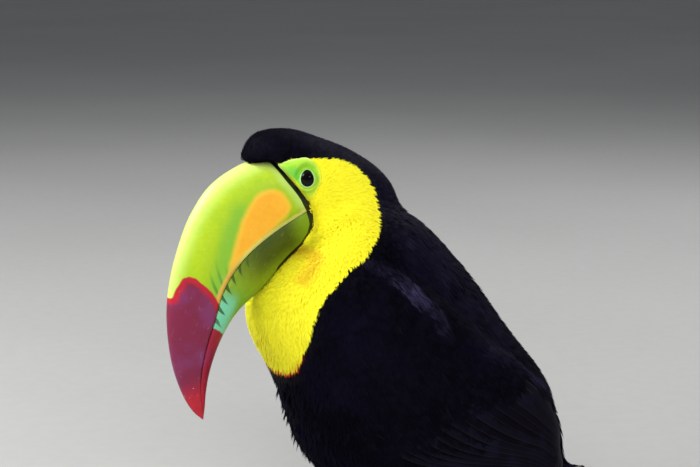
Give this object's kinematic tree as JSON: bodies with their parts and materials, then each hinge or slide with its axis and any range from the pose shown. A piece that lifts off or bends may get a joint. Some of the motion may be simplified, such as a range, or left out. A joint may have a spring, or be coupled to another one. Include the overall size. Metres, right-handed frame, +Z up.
{
  "type": "keel-billed toucan",
  "caption": "Life-size still model of a keel-billed toucan, crouched on both feet, head dipped and turned a little to its left, long tail laid out behind.",
  "frame": {"origin": "on the floor, under the middle of the bird's bounding box", "axes": "+Z up; the bird faces -Y, its own left side is at +X and its tail lies towards +Y"},
  "size_m": [0.1188, 0.3852, 0.226],
  "materials": {
    "bib_plumage": "matt yellow face feathers under a black crown",
    "black_plumage": "black feathers with a faint violet sheen",
    "green_horn": "satin horn: green with an orange blaze and a red tip",
    "olive_horn": "satin horn: olive to teal with a red tip",
    "eyeball": "wet, nearly black",
    "blue_skin": "scaly blue-grey skin",
    "dark_horn": "dark horn"
  },
  "bodies": {
    "root": {"head": "bib_plumage", "bill_upper": "green_horn", "bill_lower": "olive_horn", "eye_left": "eyeball", "eye_right": "eyeball", "neck": "black_plumage", "trunk": "black_plumage", "tail": "black_plumage", "wing_left": "black_plumage", "wing_right": "black_plumage", "thigh_left": "black_plumage", "thigh_right": "black_plumage", "tarsus_left": "blue_skin", "toe_left_front_outer": "blue_skin", "claw_left_front_outer": "dark_horn", "toe_left_front_inner": "blue_skin", "claw_left_front_inner": "dark_horn", "toe_left_back_outer": "blue_skin", "claw_left_back_outer": "dark_horn", "toe_left_back_inner": "blue_skin", "claw_left_back_inner": "dark_horn", "tarsus_right": "blue_skin", "toe_right_front_outer": "blue_skin", "claw_right_front_outer": "dark_horn", "toe_right_front_inner": "blue_skin", "claw_right_front_inner": "dark_horn", "toe_right_back_outer": "blue_skin", "claw_right_back_outer": "dark_horn", "toe_right_back_inner": "blue_skin", "claw_right_back_inner": "dark_horn"}
  },
  "joints": []
}
